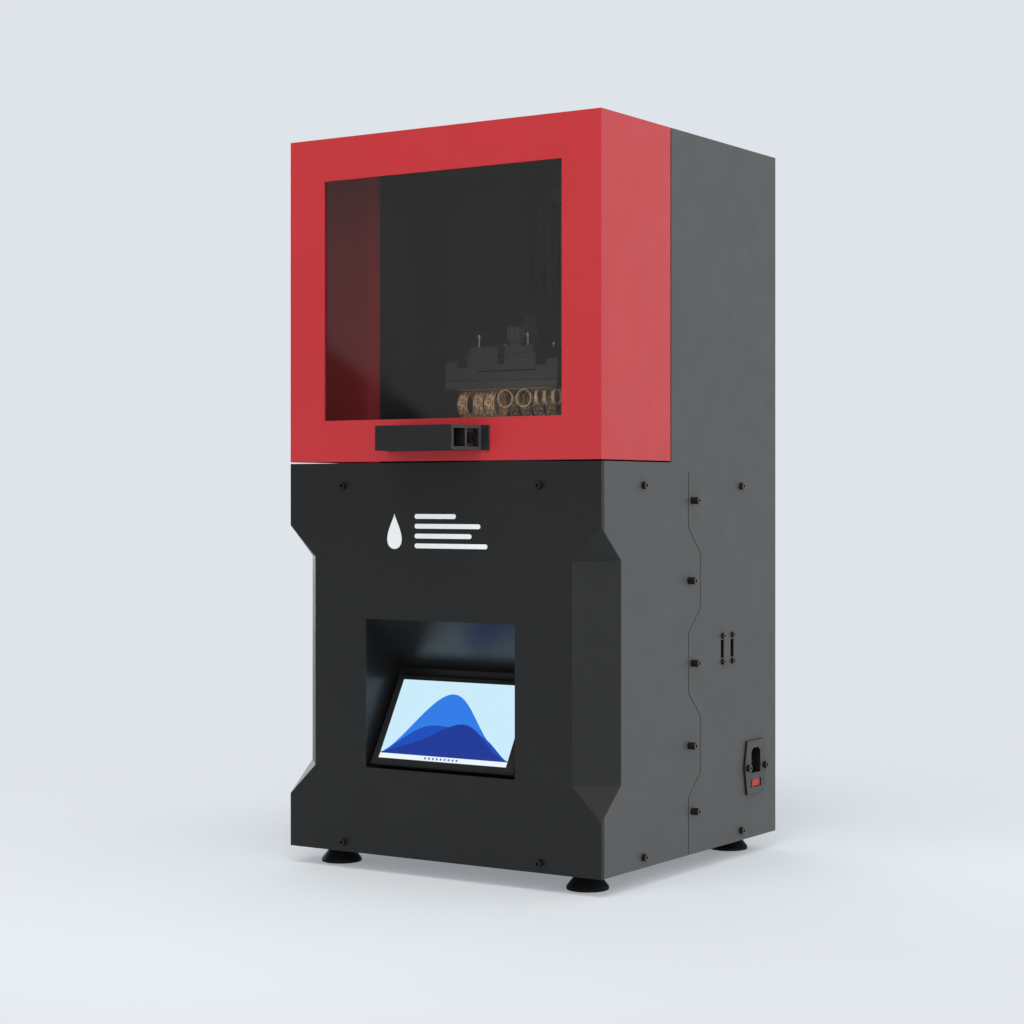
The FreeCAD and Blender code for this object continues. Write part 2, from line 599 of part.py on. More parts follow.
def make_rings():
    """A print on the build plate: broad, facing and edge-on rings that hang from one thin raft."""
    rings = [box(("-54", "61"), ("-68", "-5"), ("plate_low - raft", "plate_low"))]
    for x, y in BROAD_RINGS:
        rings.append(ring("+X", (f"{x} - 5.5", y, "440"), 11, 14.5, 12.8))
    for x, y in FACING_RINGS:
        rings.append(ring("+Y", (x, y, "445"), 4, 9.2, 7.9))
        rings.append(rod("+Z", (x, f"{y} + 2", "454"), "plate_low - 454", 1))
    for x, y in EDGE_RINGS:
        rings.append(ring("+X", (f"{x} - 1.75", y, "446"), 3.5, 8.8, 7.5))
    node("printed_rings", fuse(*rings))


def make_vat():
    """The resin vat, its film and the two knobs that clamp it to the deck."""
    x = ("-vat_half", "vat_half")
    y = ("optic_y - vat_deep / 2", "optic_y + vat_deep / 2")
    outer_x = ("-vat_half - vat_wall", "vat_half + vat_wall")
    outer_y = (f"{y[0]} - vat_wall", f"{y[1]} + vat_wall")
    frame = box(outer_x, outer_y, ("deck + 5.5", "vat_top"))
    ears = [box(side_range(side, "vat_half + vat_wall - 1", "122"), ("optic_y - 14", "optic_y + 14"),
                ("384", "392")) for side in SIDES.values()]
    slots = [box(side_range(side, "vat_knob_x - 4", "124"), ("optic_y - 3.2", "optic_y + 3.2"),
                 ("383", "393")) for side in SIDES.values()]
    node("vat_frame", cut(fuse(frame, *ears), box(x, y, ("deck", "vat_top + 1")), *slots))
    node("vat_film", box(("-vat_half - 12", "vat_half + 12"), (f"{y[0]} - 12", f"{y[1]} + 12"),
                         ("deck + 5", "deck + 5.5")))
    clamp = box(("-vat_half - 14", "vat_half + 14"), (f"{y[0]} - 14", f"{y[1]} + 14"), ("deck", "deck + 5"))
    node("vat_film_ring", cut(clamp, box(x, y, ("deck - 1", "deck + 6"))))
    for name, side in SIDES.items():
        at = f"vat_knob_x * {side}"
        stem = rod("+Z", (at, "optic_y", "362"), 32, 3)
        head = rod("+Z", (at, "optic_y", "392"), 15, 11.5)
        node(f"vat_knob_{name}", cut(fuse(stem, head), *flutes(at, "optic_y", "391", 17, 12.6, 10, 2.2)))


# ---------------------------------------------------------------- screen, optics and electronics

def port_openings():
    """Cut-outs in the right side for the USB ports and the power inlet, and their screw holes."""
    side = ("width / 2 - 10", "width / 2 + 1")
    tools = [box(side, (f"{y} - 3.6", f"{y} + 3.6"), ("usb_low", "usb_high")) for y in USB_PORTS]
    tools.append(box(side, ("inlet_y - 15.2", "inlet_y + 15.2"), ("inlet_z - 25.2", "inlet_z + 24.2")))
    tools += [rod("+X", (side[0], y, z), 15, radius) for y, z, radius in usb_screws() + inlet_screws()]
    return tools


def usb_screws():
    """Y, Z and hole radius of each screw around the USB ports."""
    return [(f"{y} - 0.5", z, CORE_M3) for y in USB_PORTS for z in (183, 209)]


def inlet_screws():
    """Y, Z and hole radius of the two screws of the power inlet."""
    return [(f"inlet_y + {y}", "inlet_z", CORE_M4) for y in (-18.6, 18.6)]


def make_ports():
    """Two upright USB ports on a plate behind the right side panel, and the screws around them."""
    wall = "width / 2"
    plate = box((f"{wall} - skin - 2", f"{wall} - skin"), ("48", "90"), ("176", "216"))
    shells = []
    cavities = []
    tongues = []
    for y in USB_PORTS:
        shells.append(box((f"{wall} - 16", f"{wall} - 1"), (f"{y} - 3.4", f"{y} + 3.4"),
                          ("usb_low + 0.2", "usb_high - 0.2")))
        cavities.append(box((f"{wall} - 12", wall), (f"{y} - 2.8", f"{y} + 2.8"),
                            ("usb_low + 1", "usb_high - 1")))
        tongues.append(box((f"{wall} - 13", f"{wall} - 3"), (f"{y} + 0.2", f"{y} + 2"),
                           ("usb_low + 2.5", "usb_high - 2.5")))
    holes = [rod("+X", (f"{wall} - 10", y, z), 15, radius) for y, z, radius in usb_screws()]
    node("usb_ports", fuse(cut(fuse(plate, *shells), *cavities, *holes), *tongues))
    screws = [cap_screw("+X", (wall, y, z), 6, 1.5, 2.9, 3) for y, z, _ in usb_screws()]
    screws += [cap_screw("+X", (f"{wall} + 2.5", y, z), 8) for y, z, _ in inlet_screws()]
    node("port_screws", *screws)


def make_inlet():
    """The power inlet: a six-sided flange with its socket, and a rocker switch below the socket."""
    wall = "width / 2"
    flange_outline = [(-18.5, -27.5), (18.5, -27.5), (24, 0), (18.5, 27), (-18.5, 27), (-24, 0)]
    mouth_outline = [(-10, -6), (10, -6), (10, 15.4), (6, 19.4), (-6, 19.4), (-10, 15.4)]
    flange = pad("YZ", [(f"inlet_y + {y}", f"inlet_z + {z}") for y, z in flange_outline], wall,
                 f"{wall} + 2.5")
    case = box((f"{wall} - 40", wall), ("inlet_y - 15", "inlet_y + 15"), ("inlet_z - 25", "inlet_z + 24"))
    socket = pad("YZ", [(f"inlet_y + {y}", f"inlet_z + {z}") for y, z in mouth_outline], f"{wall} - 20",
                 f"{wall} + 5")
    well = box((f"{wall} - 14", f"{wall} + 5"), ("inlet_y - 11.6", "inlet_y + 11.6"),
               ("switch_low - 0.4", "switch_high + 0.4"))
    holes = [rod("+X", (f"{wall} - 10", y, z), 20, radius) for y, z, radius in inlet_screws()]
    blades = [box((f"{wall} - 21", f"{wall} - 4"), (f"inlet_y + {y} - 1", f"inlet_y + {y} + 1"),
                  (f"inlet_z + {z} - 2.5", f"inlet_z + {z} + 2.5")) for y, z in ((-6, 4), (6, 4), (0, 11))]
    node("power_inlet", fuse(cut(fuse(flange, case), socket, well, *holes), *blades))

    # the rocker is drawn level round its pivot, then tipped to its off position
    pivot_depth = 4
    tip = 6
    rocker = [(-4.5, -10.6), (6.6, -10.6), (5, 0), (6.6, 10.6), (-4.5, 10.6)]
    outline = [(f"{wall} - {pivot_depth} + {x}", f"inlet_y + {y}") for x, y in rocker]
    tipped = doc.addObject("Part::Compound", "TippedRocker")
    tipped.Links = [pad("XY", outline, "switch_low", "switch_high")]
    pivot = FreeCAD.Vector(value_of("width") / 2 - pivot_depth, value_of("inlet_y"), 0)
    turn = FreeCAD.Rotation(FreeCAD.Vector(0, 0, 1), tip)
    tipped.Placement = FreeCAD.Placement(FreeCAD.Vector(), turn, pivot)
    node("rocker_switch", tipped)


def leaning(run_low, run_high, out_low, out_high):
    """Outline of a slab that leans back by the tilt, from its lower front edge."""
    start = (f"{FRONT} + 2.1", "screen_low + 4.5")
    corners = ((run_low, out_low), (run_high, out_low), (run_high, out_high), (run_low, out_high))
    return [(f"{start[0]} + ({run}) * sin(tilt) - ({out}) * cos(tilt)",
             f"{start[1]} + ({run}) * cos(tilt) + ({out}) * sin(tilt)") for run, out in corners]


def make_screen():
    """The recess in the front, and the touch display that leans back in it."""
    # the recess has an upright back and a ceiling that slopes from the front down to the top of the back
    front = f"{FRONT} + skin"
    outside = [(front, "screen_low - 2"), ("recess_back + 2", "screen_low - 2"),
               ("recess_back + 2", "recess_eave + 0.9"), (front, "screen_high + 2.6")]
    inside = [(f"{front} - 1", "screen_low"), ("recess_back", "screen_low"), ("recess_back", "recess_eave"),
              (front, "screen_high"), (f"{front} - 1", "screen_high")]
    tray = pad("YZ", outside, "-screen_half - 2", "screen_half + 2")
    node("screen_recess", cut(tray, pad("YZ", inside, "-screen_half", "screen_half")))
    node("display_module", pad("YZ", leaning("0", "module_run", "-module_thick", "0"), "-module_half",
                               "module_half"))
    node("display_glass", pad("YZ", leaning("1", "module_run - 1", "0", "glass_thick"), "-module_half + 1",
                              "module_half - 1"))


def make_projector():
    """The projector under the deck window, with its lens and bracket."""
    case = box(("-60", "60"), ("-100", "35"), ("96", "196"))
    fins = [box((x, x + 3), ("35", "43"), ("100", "190")) for x in range(-57, 57, 9)]
    node("projector", fuse(case, *fins))
    barrel = fuse(rod("+Z", ("0", "optic_y", "196"), 30, 30), rod("+Z", ("0", "optic_y", "226"), 20, 26))
    node("projector_lens", cut(barrel, rod("+Z", ("0", "optic_y", "240"), 10, 21)))
    angles = []
    for side in SIDES.values():
        leg = box(side_range(side, "60", "63"), ("-90", "25"), ("3", "190"))
        foot = box(side_range(side, "60", "83"), ("-90", "25"), ("3", "6"))
        angles.append(fuse(leg, foot))
    node("projector_bracket", *angles)


def make_electronics():
    """The main board on its posts and the power supply, on the base plate."""
    board = box(("-152", "-90"), ("-60", "100"), ("15", "16.6"))
    posts = [rod("+Z", (x, y, "3"), 12, 3) for x in (-147, -95) for y in (-55, 95)]
    # corner, size and height of each tall component
    parts = ((-140, -30, 36, 36, 14), (-148, 20, 14, 60, 9), (-125, 30, 20, 30, 6), (-104, -50, 10, 40, 11))
    chips = [box((x, x + wide), (y, y + deep), (16.6, 16.6 + tall)) for x, y, wide, deep, tall in parts]
    node("main_board", fuse(board, *posts, *chips))
    supply = box(("92", "152"), ("-60", "90"), ("3", "45"))
    vents = [box(("90", "94"), (y, y + 4), ("12", "36")) for y in range(-50, 80, 10)]
    node("power_supply", cut(supply, *vents))


def fan_bolt_holes(start, length):
    """Holes on the fan's bolt pattern, from a Y formula back."""
    return [rod("+Y", (x, start, f"fan_z + {z}"), length, CORE_M4) for x, z in FAN_BOLTS]


def fan_cross(half, y_range):
    """Two bars across the fan at right angles."""
    return [box((f"-{half}", half), y_range, ("fan_z - 45", "fan_z + 45")),
            box(("-45", "45"), y_range, (f"fan_z - {half}", f"fan_z + {half}"))]


def make_fan():
    """The fan behind the back panel: its frame, its impeller and the guard outside."""
    rear = f"{BACK} - skin"
    front = f"{rear} - 25"
    frame = box(("-46", "46"), (front, rear), ("fan_z - 46", "fan_z + 46"))
    bore = rod("+Y", ("0", f"{front} - 1", "fan_z"), 30, "fan_radius")
    axle = rod("+Y", ("0", front, "fan_z"), 20, 2)
    plate = rod("+Y", ("0", front, "fan_z"), 3, 18)
    spokes = fan_cross(2, (front, f"{front} + 3"))
    node("fan_frame", fuse(cut(frame, bore, *fan_bolt_holes(f"{front} - 1", 30)), *spokes, plate, axle))

    rings = [ring("+Y", ("0", BACK, "fan_z"), 2.5, radius, f"({radius}) - 1.5")
             for radius in ("fan_radius + 4", "34", "24", "14")]
    tabs = [rod("+Y", (x, BACK, f"fan_z + {z}"), 2.5, 5) for x, z in FAN_BOLTS]
    struts = fan_cross(1, (BACK, f"{BACK} + 2.5"))
    node("fan_guard", cut(fuse(*rings, *struts, *tabs), *fan_bolt_holes(f"{BACK} - 1", 5)))

    hub = rod("+Y", ("0", f"{rear} - 21", "fan_z"), 18, 17)
    blade_count = 7
    pitch = FreeCAD.Rotation(FreeCAD.Vector(1, 0, 0), 55)
    blades = []
    for index in range(blade_count):
        pitched = doc.addObject("Part::Compound", "PitchedBlade")
        pitched.Links = [box(("12", "fan_radius - 2"), ("-1", "1"), ("-9", "9"))]
        spin = FreeCAD.Rotation(FreeCAD.Vector(0, 1, 0), 360 * index / blade_count)
        pitched.Placement.Rotation = spin.multiply(pitch)
        place(pitched, ("0", f"{rear} - 12", "fan_z"))
        blades.append(pitched)
    bearing = rod("+Y", ("0", f"{rear} - 22", "fan_z"), 18, "2 + running")
    node("fan_impeller", cut(fuse(hub, *blades), bearing))


def main():
    """Build every sub-part, test it and write it to its own STEP file."""
    for make in (make_front, make_sides, make_back, make_frame, make_deck, make_feet, make_screws, make_hood,
                 make_handle, make_hinges, make_lift, make_drive, make_arm, make_platform, make_rings,
                 make_vat, make_ports, make_inlet, make_screen, make_projector, make_electronics, make_fan):
        make()
    doc.recompute()
    for obj in doc.Objects:
        if "Invalid" in obj.State or "Error" in obj.State:
            raise RuntimeError(f"{obj.Name} ({obj.Label}) did not recompute: {obj.State}")
    os.makedirs("parts", exist_ok=True)
    for obj in nodes:
        shape = obj.Shape
        if shape.isNull() or not shape.isValid() or shape.Volume <= 0 or not shape.Solids:
            raise RuntimeError(f"{obj.Label} has no valid solid")
        shape.exportStep(f"parts/{obj.Label}.step")
    print(len(nodes), "sub-parts")


main()
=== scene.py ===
"""Looks of the desktop resin printer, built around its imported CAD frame. Metres, Z up, front facing -Y."""

import json
import math

import bmesh
import bpy
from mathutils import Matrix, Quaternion, Vector


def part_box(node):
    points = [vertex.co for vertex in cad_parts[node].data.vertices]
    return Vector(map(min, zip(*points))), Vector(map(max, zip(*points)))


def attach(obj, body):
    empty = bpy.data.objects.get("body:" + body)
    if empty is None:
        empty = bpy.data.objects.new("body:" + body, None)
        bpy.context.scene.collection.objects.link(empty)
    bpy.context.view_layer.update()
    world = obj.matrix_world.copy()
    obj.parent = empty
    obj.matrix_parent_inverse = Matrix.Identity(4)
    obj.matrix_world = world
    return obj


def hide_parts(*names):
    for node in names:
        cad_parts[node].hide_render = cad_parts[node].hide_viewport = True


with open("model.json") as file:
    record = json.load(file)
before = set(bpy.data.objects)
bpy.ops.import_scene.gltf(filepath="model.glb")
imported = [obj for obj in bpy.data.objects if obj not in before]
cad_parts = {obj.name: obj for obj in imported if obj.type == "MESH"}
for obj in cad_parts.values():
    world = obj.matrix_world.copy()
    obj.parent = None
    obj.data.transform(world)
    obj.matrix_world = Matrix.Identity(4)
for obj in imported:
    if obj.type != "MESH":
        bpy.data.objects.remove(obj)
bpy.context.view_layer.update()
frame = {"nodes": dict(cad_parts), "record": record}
NODES = frame["nodes"]
MM = 0.001

# ---------------------------------------------------------------- node materials


class Graph:
    """A material's node tree, with short calls for the nodes that the finishes share."""

    def __init__(self, name):
        self.material = bpy.data.materials.new(name)
        self.material.use_nodes = True
        self.tree = self.material.node_tree
        self.tree.nodes.clear()
        self.output = self.add("ShaderNodeOutputMaterial")
        self.coords = self.add("ShaderNodeTexCoord").outputs["Object"]

    def add(self, kind, **settings):
        """A new node, with its attributes and then its inputs set."""
        node = self.tree.nodes.new(kind)
        for key, value in settings.items():
            if hasattr(node, key):
                setattr(node, key, value)
            else:
                self.feed(node.inputs[key.replace("_", " ")], value)
        return node

    def feed(self, socket, value):
        """Link a socket, or set its plain value."""
        if isinstance(value, bpy.types.NodeSocket):
            self.tree.links.new(value, socket)
        else:
            socket.default_value = value

    def noise(self, scale, detail=3.0, stretch=(1, 1, 1)):
        """Noise over the object's own coordinates, squeezed along an axis where stretch is under 1."""
        mapped = self.add("ShaderNodeMapping", Vector=self.coords, Scale=stretch)
        node = self.add("ShaderNodeTexNoise", Vector=mapped.outputs[0], Scale=scale, Detail=detail)
        return node.outputs["Fac"]

    def ramp(self, value, low, high, start=0.35, end=0.65):
        """A value mapped from between start and end to between low and high."""
        node = self.add("ShaderNodeMapRange", Value=value)
        for socket, number in zip(("From Min", "From Max", "To Min", "To Max"), (start, end, low, high)):
            node.inputs[socket].default_value = number
        return node.outputs[0]

    def mix(self, factor, first, second):
        """Two colours mixed by a factor."""
        node = self.add("ShaderNodeMix", data_type="RGBA")
        # the mix node's colour sockets have no names of their own, so they are reached by number
        for index, value in ((0, factor), (6, first), (7, second)):
            if isinstance(value, tuple) and len(value) == 3:
                value = (*value, 1.0)
            self.feed(node.inputs[index], value)
        return node.outputs[2]

    def blend(self, factor, first, second):
        """Two shaders mixed by a factor."""
        node = self.add("ShaderNodeMixShader")
        for index, value in ((0, factor), (1, first.outputs[0]), (2, second.outputs[0])):
            self.feed(node.inputs[index], value)
        return node

    def bump(self, height, depth):
        """A bump of a real depth in metres."""
        return self.add("ShaderNodeBump", Height=height, Distance=depth).outputs[0]

    def edge(self, radius):
        """How close a point is to a sharp edge, 0 on the flat to 1 on the edge."""
        rounded = self.add("ShaderNodeBevel", samples=4, Radius=radius)
        flat = self.add("ShaderNodeNewGeometry")
        dot = self.add("ShaderNodeVectorMath", operation="DOT_PRODUCT")
        self.feed(dot.inputs[0], rounded.outputs[0])
        self.feed(dot.inputs[1], flat.outputs["Normal"])
        return self.ramp(dot.outputs["Value"], 1.0, 0.0, 0.80, 0.995)

    def finish(self, shader):
        """Send a shader to the output and return the material."""
        self.tree.links.new(shader.outputs[0], self.output.inputs["Surface"])
        return self.material


def scaled(colour, factor):
    """A colour made lighter or darker."""
    return tuple(min(1.0, part * factor) for part in colour)


def powder_coat(name, colour, rough=0.55, specular=0.5, grain=0.00006, wear=0.35, lining=None):
    """Powder-coated sheet: orange-peel grain, soft mottling and edges that catch a little wear.

    The faces of a side panel that look in toward the machine's middle take the lining colour, if there is one."""
    graph = Graph(name)
    mottle = graph.ramp(graph.noise(9.0, 4.0), 0.0, 1.0)
    tone = graph.mix(mottle, scaled(colour, 0.975), scaled(colour, 1.025))
    speckle = graph.ramp(graph.noise(900.0, 2.0), 0.0, 0.5)
    tone = graph.mix(speckle, tone, scaled(colour, 1.12))
    worn = graph.add("ShaderNodeMath", operation="MULTIPLY")
    graph.feed(worn.inputs[0], graph.edge(0.0009))
    graph.feed(worn.inputs[1], graph.ramp(graph.noise(60.0, 5.0), 0.05, wear))
    tone = graph.mix(worn.outputs[0], tone, scaled(colour, 1.9))
    if lining:
        # place times facing is about -0.18 on the inner side faces, 0 on the edges and 0.18 on the outer faces
        place = graph.add("ShaderNodeSeparateXYZ", Vector=graph.coords)
        facing = graph.add("ShaderNodeSeparateXYZ", Vector=graph.add("ShaderNodeNewGeometry").outputs["Normal"])
        outward = graph.add("ShaderNodeMath", operation="MULTIPLY")
        graph.feed(outward.inputs[0], place.outputs["X"])
        graph.feed(outward.inputs[1], facing.outputs["X"])
        tone = graph.mix(graph.ramp(outward.outputs[0], 0.0, 1.0, -0.10, -0.05), lining, tone)
    peel = graph.bump(graph.noise(520.0, 3.0), grain)
    shader = graph.add("ShaderNodeBsdfPrincipled", Base_Color=tone, Normal=peel,
                       Roughness=graph.ramp(graph.noise(35.0, 3.0), rough - 0.03, rough + 0.04))
    shader.inputs["Specular IOR Level"].default_value = specular
    return graph.finish(shader)


def metal(name, colour, rough=0.3, grain_axis=(1, 1, 1), grain_scale=400.0, grain=0.00002):
    """Bare metal with a directional grain, smudges and edges lightened as a painted highlight."""
    graph = Graph(name)
    lines = graph.noise(grain_scale, 4.0, grain_axis)
    tone = graph.mix(graph.ramp(lines, 0.0, 1.0), scaled(colour, 0.86), scaled(colour, 1.1))
    # the sharp edges are lightened: a painted highlight
    tone = graph.mix(graph.edge(0.0006), tone, scaled(colour, 1.25))
    smudge = graph.ramp(graph.noise(28.0, 4.0), rough - 0.06, rough + 0.12)
    shader = graph.add("ShaderNodeBsdfPrincipled", Base_Color=tone, Metallic=1.0, Roughness=smudge,
                       Normal=graph.bump(lines, grain))
    return graph.finish(shader)


def plastic(name, colour, rough=0.45, specular=0.4, grain_scale=1400.0, grain=0.00004):
    """Moulded plastic or rubber with a fine spark-eroded grain and a painted highlight along its edges."""
    graph = Graph(name)
    tone = graph.mix(graph.ramp(graph.noise(20.0, 4.0), 0.0, 1.0), scaled(colour, 0.9), scaled(colour, 1.12))
    # the sharp edges are lightened: a painted highlight
    tone = graph.mix(graph.ramp(graph.edge(0.0006), 0.0, 0.4, 0.0, 1.0), tone, scaled(colour, 1.7))
    shader = graph.add("ShaderNodeBsdfPrincipled", Base_Color=tone,
                       Roughness=graph.ramp(graph.noise(50.0, 3.0), rough - 0.06, rough + 0.06),
                       Normal=graph.bump(graph.noise(grain_scale, 2.0), grain))
    shader.inputs["Specular IOR Level"].default_value = specular
    return graph.finish(shader)


def painted_lit_faces(name, colour, outside, rough):
    """A black finish whose outer faces, beyond a distance to the right of the middle and turned to the right, are
    painted grey: painted light from the bright right side.
    """
    graph = Graph(name)
    split = graph.add("ShaderNodeSeparateXYZ", Vector=graph.coords)
    faces = graph.add("ShaderNodeSeparateXYZ", Vector=graph.add("ShaderNodeNewGeometry").outputs["Normal"])
    # mask of the faces right of the threshold that turn to the right, which take painted light
    lit_face_mask = graph.add("ShaderNodeMath", operation="MULTIPLY")
    graph.feed(lit_face_mask.inputs[0], graph.ramp(split.outputs["X"], 0.0, 1.0, outside, outside + 0.0002))
    graph.feed(lit_face_mask.inputs[1], graph.ramp(faces.outputs["X"], 0.0, 1.0, 0.6, 0.9))
    # the grey put on those faces is painted light, standing in for the bright studio side
    tone = graph.mix(graph.ramp(graph.noise(40.0, 4.0), 0.0, 1.0), scaled(GREY, 0.85), scaled(GREY, 1.0))
    tone = graph.mix(lit_face_mask.outputs[0], colour, tone)
    shader = graph.add("ShaderNodeBsdfPrincipled", Base_Color=tone,
                       Roughness=graph.ramp(graph.noise(50.0, 3.0), rough - 0.05, rough + 0.05),
                       Normal=graph.bump(graph.noise(900.0, 2.0), 0.00002))
    shader.inputs["Specular IOR Level"].default_value = 0.35
    return graph.finish(shader)


def sheet_shader(graph, tint, rough):
    """A thin clear sheet: tinted light passes straight through, and only its outer faces reflect."""
    through = graph.add("ShaderNodeBsdfTransparent", Color=tint)
    gloss = graph.add("ShaderNodeBsdfGlossy", Roughness=rough, Color=(1, 1, 1, 1))
    outside = graph.add("ShaderNodeMath", operation="SUBTRACT")
    graph.feed(outside.inputs[0], 1.0)
    graph.feed(outside.inputs[1], graph.add("ShaderNodeNewGeometry").outputs["Backfacing"])
    share = graph.add("ShaderNodeMath", operation="MULTIPLY")
    graph.feed(share.inputs[0], graph.add("ShaderNodeFresnel", IOR=1.49).outputs[0])
    graph.feed(share.inputs[1], outside.outputs[0])
    return graph.blend(share.outputs[0], through, gloss)


def smoked_acrylic(name, tint, veil):
    """A smoked sheet under a polished surface, with a faint film of wipe marks."""
    graph = Graph(name)
    density = graph.mix(graph.ramp(graph.noise(4.0, 2.0), 0.0, 1.0), scaled(tint, 0.98), scaled(tint, 1.02))
    wipe = graph.ramp(graph.noise(16.0, 5.0, (1, 1, 0.3)), 0.05, 0.10)
    sheet = sheet_shader(graph, density, wipe)
    dust = graph.add("ShaderNodeBsdfDiffuse", Color=(0.5, 0.5, 0.5, 1))
    return graph.finish(graph.blend(graph.ramp(graph.noise(40.0, 5.0), veil * 0.5, veil), sheet, dust))


def clear_sheet(name, tint, rough=0.02):
    """Clear glass or film, thin enough that light isn't bent."""
    graph = Graph(name)
    smears = graph.ramp(graph.noise(30.0, 4.0), rough, rough + 0.06)
    return graph.finish(sheet_shader(graph, (*tint, 1), smears))


def cast_resin(name, colour):
    """Cured castable resin: waxy and slightly see-through, with fine print layers and a painted highlight along
    its edges.
    """
    graph = Graph(name)
    tone = graph.mix(graph.ramp(graph.noise(300.0, 4.0), 0.0, 1.0), scaled(colour, 0.65), scaled(colour, 1.3))
    # the sharp edges are lightened: a painted highlight
    tone = graph.mix(graph.edge(0.0004), tone, scaled(colour, 1.2))
    layers = graph.add("ShaderNodeTexWave", Vector=graph.coords, Scale=3000.0, bands_direction="Z")
    shader = graph.add("ShaderNodeBsdfPrincipled", Base_Color=tone, Roughness=0.38,
                       Normal=graph.bump(layers.outputs["Fac"], 0.00003))
    shader.inputs["Subsurface Weight"].default_value = 0.25
    shader.inputs["Subsurface Radius"].default_value = (0.002, 0.0012, 0.0006)
    return graph.finish(shader)


def glow(name, low, high, bottom, top, spill=2.0):
    """A lit display area: its colour runs from low to high between two heights, and it lights the recess."""
    graph = Graph(name)
    split = graph.add("ShaderNodeSeparateXYZ", Vector=graph.coords)
    share = graph.ramp(split.outputs["Z"], 0.0, bottom, top)
    grid = graph.ramp(graph.noise(700.0, 1.0), 0.0, 0.012)
    tone = graph.mix(grid, graph.mix(share, low, high), (1.0, 1.0, 1.0))
    seen = graph.add("ShaderNodeLightPath").outputs["Is Camera Ray"]
    emit = graph.add("ShaderNodeEmission", Color=tone, Strength=graph.ramp(seen, spill, 1.0, 0.0, 1.0))
    return graph.finish(emit)


BLACK = (0.0072, 0.0072, 0.0072)
GREY = (0.075, 0.075, 0.0755)
RED = (0.545, 0.025, 0.032)
RIGHT_FACE = 180.5 * MM
INLET_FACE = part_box("power_inlet")[1].x - 0.3 * MM


def make_finishes():
    """Every finish by the name of its slot in the record."""
    return {
        "black_sheet": powder_coat("black_sheet", BLACK, rough=0.5, specular=0.40),
        "grey_sheet": powder_coat("grey_sheet", GREY, rough=0.6, specular=0.5),
        "red_sheet": powder_coat("red_sheet", RED, rough=0.45, specular=0.52),
        "zinc_sheet": metal("zinc_sheet", (0.42, 0.42, 0.44), 0.42, (1, 1, 1), 120.0),
        # the screw heads' faces turned to the right are painted grey as lit: painted light
        "black_oxide": painted_lit_faces("black_oxide", (0.007, 0.007, 0.0072), RIGHT_FACE, 0.4),
        "hinge_steel": metal("hinge_steel", (0.50, 0.50, 0.51), 0.28, (0.06, 1, 1), 900.0),
        "smoked_acrylic": smoked_acrylic("smoked_acrylic", (0.80, 0.79, 0.79), 0.005),
        "clear_glass": clear_sheet("clear_glass", (0.82, 0.88, 0.90)),
        "film": clear_sheet("film", (0.90, 0.93, 0.95), 0.08),
        "anodised_black": powder_coat("anodised_black", (0.026, 0.026, 0.027), 0.42, 0.4, 0.00002, 0.6),
        "hard_anodised": powder_coat("hard_anodised", (0.055, 0.055, 0.056), 0.42, 0.4, 0.00003, 0.5),
        "rail_steel": metal("rail_steel", (0.075, 0.075, 0.08), 0.38, (1, 1, 0.05), 900.0, 0.00001),
        "carriage_steel": metal("carriage_steel", (0.36, 0.37, 0.39), 0.3, (1, 1, 0.1), 700.0),
        "brass": metal("brass", (0.62, 0.44, 0.18), 0.28, (1, 1, 0.15), 500.0),
        "black_plastic": plastic("black_plastic", (0.012, 0.012, 0.012), 0.5),
        "rubber": plastic("rubber", (0.003, 0.003, 0.003), 0.6, 0.15, 700.0, 0.00008),
        "motor_black": powder_coat("motor_black", (0.02, 0.02, 0.02), 0.4, 0.4),
        "lens_glass": plastic("lens_glass", (0.01, 0.012, 0.03), 0.08, 0.8, 300.0, 0.0),
        "circuit": plastic("circuit", (0.01, 0.09, 0.035), 0.35, 0.5, 500.0),
        "supply_steel": metal("supply_steel", (0.5, 0.5, 0.5), 0.36, (0.1, 1, 1), 500.0),
        "screen_glass": plastic("screen_glass", (0.006, 0.006, 0.007), 0.07, 0.5, 100.0, 0.0),
        "guard_wire": powder_coat("guard_wire", (0.02, 0.02, 0.02), 0.4, 0.4),
        "rocker_red": plastic("rocker_red", (0.45, 0.015, 0.012), 0.25, 0.5),
        "cast_resin": cast_resin("cast_resin", (0.90, 0.55, 0.30)),
    }


FINISHES = make_finishes()
REAR_SIDE = powder_coat("rear_side_coat", GREY, rough=0.6, specular=0.5, lining=BLACK)
# pieces whose coat differs a little from the rest of their slot
VARIANTS = {
    "side_rear_left": REAR_SIDE,
    "side_rear_right": REAR_SIDE,
    "screen_recess": powder_coat("recess_coat", scaled(BLACK, 1.5), rough=0.34, specular=0.2, grain=0.00001),
    "display_glass": plastic("bezel_glass", (0.014, 0.014, 0.0142), 0.38),
    "display_module": plastic("module_plastic", (0.022, 0.022, 0.022), 0.5),
    # the handle's faces turned to the right are painted grey as lit: painted light
    "hood_handle": painted_lit_faces("handle_coat", scaled(BLACK, 1.7), 0.0, 0.5),
    "platform_knob": plastic("knob_plastic", (0.085, 0.085, 0.086), 0.45),
    "platform_block": powder_coat("block_coat", (0.040, 0.040, 0.041), rough=0.45),
    "z_arm": powder_coat("arm_coat", (0.045, 0.045, 0.046), rough=0.45),
    "leveling_screws": metal("screw_steel", (0.36, 0.36, 0.37), 0.34, (1, 1, 0.1), 900.0),
    # the inlet's outer face is painted grey as lit: painted light
    "power_inlet": painted_lit_faces("inlet_plastic", (0.004, 0.004, 0.004), INLET_FACE, 0.6),
    "usb_ports": plastic("port_plastic", (0.004, 0.004, 0.004), 0.6, 0.12),
}


